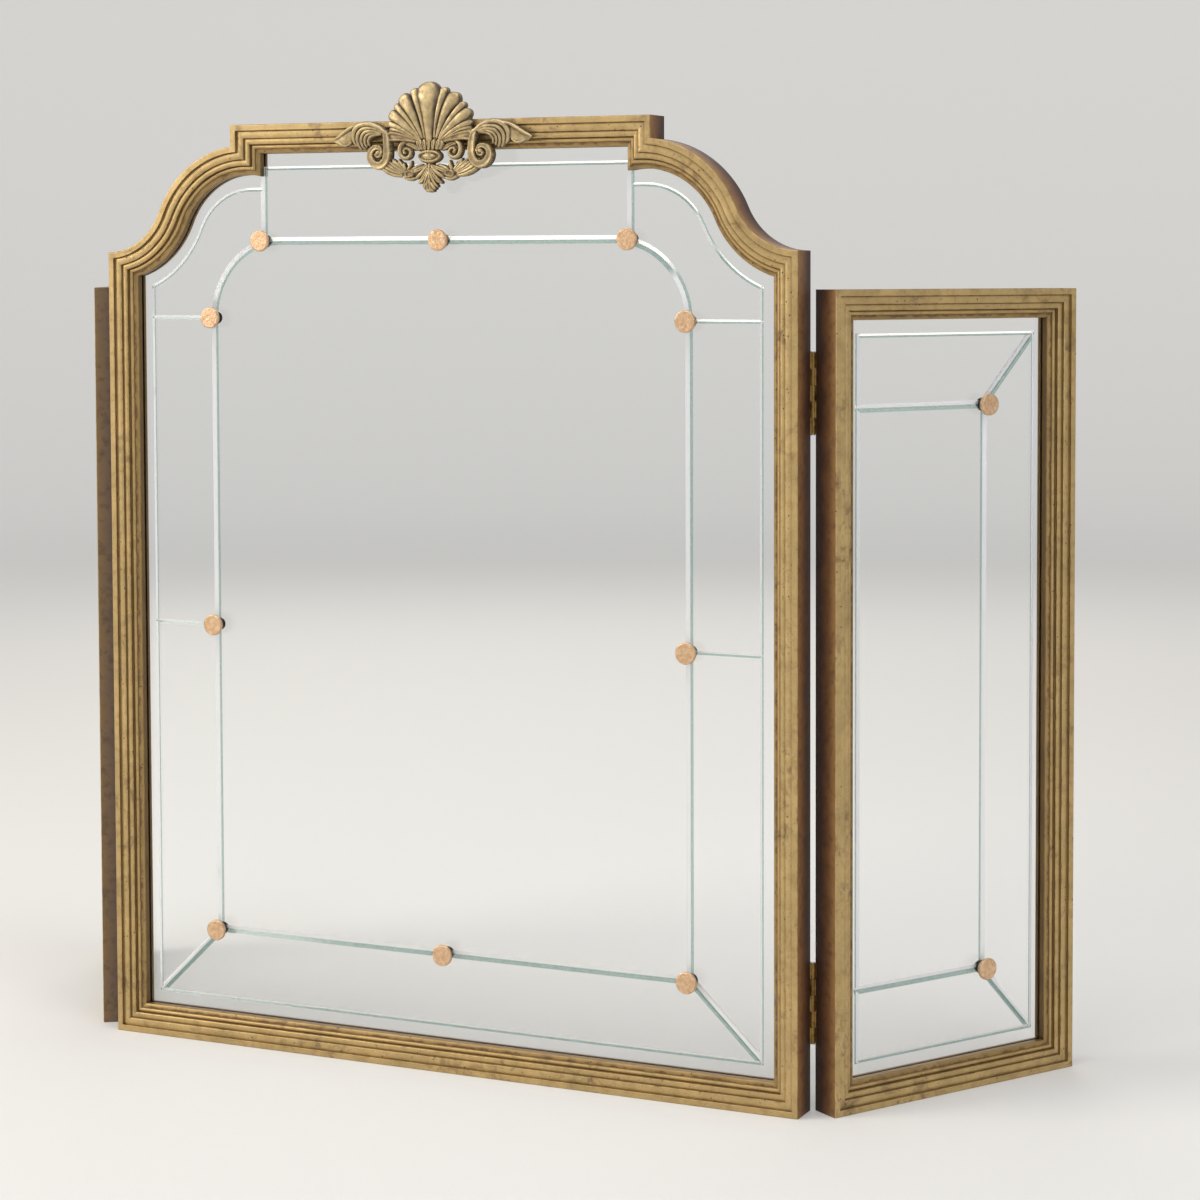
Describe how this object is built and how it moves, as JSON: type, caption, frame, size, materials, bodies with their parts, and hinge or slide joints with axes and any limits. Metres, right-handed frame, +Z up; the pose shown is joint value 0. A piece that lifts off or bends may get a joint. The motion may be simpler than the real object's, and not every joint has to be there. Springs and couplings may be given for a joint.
{
  "type": "glass fireplace screen",
  "caption": "Folding fireplace screen: ogee-shouldered centre panel with a shell crest, hinged wings, reeded gilt frames, V-grooved glass and round medallions.",
  "frame": {"origin": "middle of the underside of the centre panel's bottom rail, halfway through its thickness", "axes": "+X along the centre panel to the viewer's right, +Y from front to back, +Z up"},
  "size_m": [1.072, 0.2764, 0.9162],
  "materials": {
    "gilt_frame": "reeded wood, antique gold over umber, satin, rubbed dark in the grooves and flecked",
    "gilt_bead": "plain wood bead, thin antique gold paint",
    "cast_gold": "cast metal painted antique gold, umber in the hollows",
    "glass": "clear plate glass with polished V-grooves, faint green at the cuts",
    "rose_gold": "hammered pale rose-gold discs, polished rims",
    "black_washer": "matt black rubber",
    "steel": "plain zinc-plated steel",
    "brass": "antique brass, satin"
  },
  "bodies": {
    "centre": {"centre_stile_left": "gilt_frame", "centre_stile_right": "gilt_frame", "centre_bottom_rail": "gilt_frame", "centre_top_rail": "gilt_frame", "centre_step_left": "gilt_frame", "centre_step_right": "gilt_frame", "centre_shoulder_left": "gilt_frame", "centre_shoulder_right": "gilt_frame", "centre_glass": "glass", "centre_medallions": "rose_gold", "centre_washers": "black_washer", "centre_nuts": "steel", "centre_bead_left": "gilt_bead", "centre_bead_right": "gilt_bead", "centre_bead_bottom": "gilt_bead", "centre_bead_top": "gilt_bead", "centre_bead_shoulder_left": "gilt_bead", "centre_bead_shoulder_right": "gilt_bead", "centre_brads": "steel", "crest": "cast_gold", "crest_screws": "steel", "hinge_leaf_left_upper": "brass", "hinge_leaf_left_lower": "brass", "hinge_leaf_right_upper": "brass", "hinge_leaf_right_lower": "brass", "hinge_pins_left": "steel", "hinge_pins_right": "steel", "hinge_screws_centre": "steel"},
    "left_wing": {"left_wing_hinge_stile": "gilt_frame", "left_wing_outer_stile": "gilt_frame", "left_wing_top_rail": "gilt_frame", "left_wing_bottom_rail": "gilt_frame", "left_wing_glass": "glass", "left_wing_medallions": "rose_gold", "left_wing_washers": "black_washer", "left_wing_nuts": "steel", "left_wing_side_beads": "gilt_bead", "left_wing_end_beads": "gilt_bead", "left_wing_brads": "steel", "left_wing_leaf_upper": "brass", "left_wing_leaf_lower": "brass", "left_wing_screws": "steel"},
    "right_wing": {"right_wing_hinge_stile": "gilt_frame", "right_wing_outer_stile": "gilt_frame", "right_wing_top_rail": "gilt_frame", "right_wing_bottom_rail": "gilt_frame", "right_wing_glass": "glass", "right_wing_medallions": "rose_gold", "right_wing_washers": "black_washer", "right_wing_nuts": "steel", "right_wing_side_beads": "gilt_bead", "right_wing_end_beads": "gilt_bead", "right_wing_brads": "steel", "right_wing_leaf_upper": "brass", "right_wing_leaf_lower": "brass", "right_wing_screws": "steel"}
  },
  "joints": [
    {"name": "right_wing_hinge", "type": "hinge", "parent": "centre", "child": "right_wing", "pos_m": [0.362, 0.01775, 0.364], "axis": [0, 0, 1], "range_deg": [-58, 122]},
    {"name": "left_wing_hinge", "type": "hinge", "parent": "centre", "child": "left_wing", "pos_m": [-0.362, 0.01775, 0.364], "axis": [0, 0, -1], "range_deg": [-58, 122]}
  ]
}
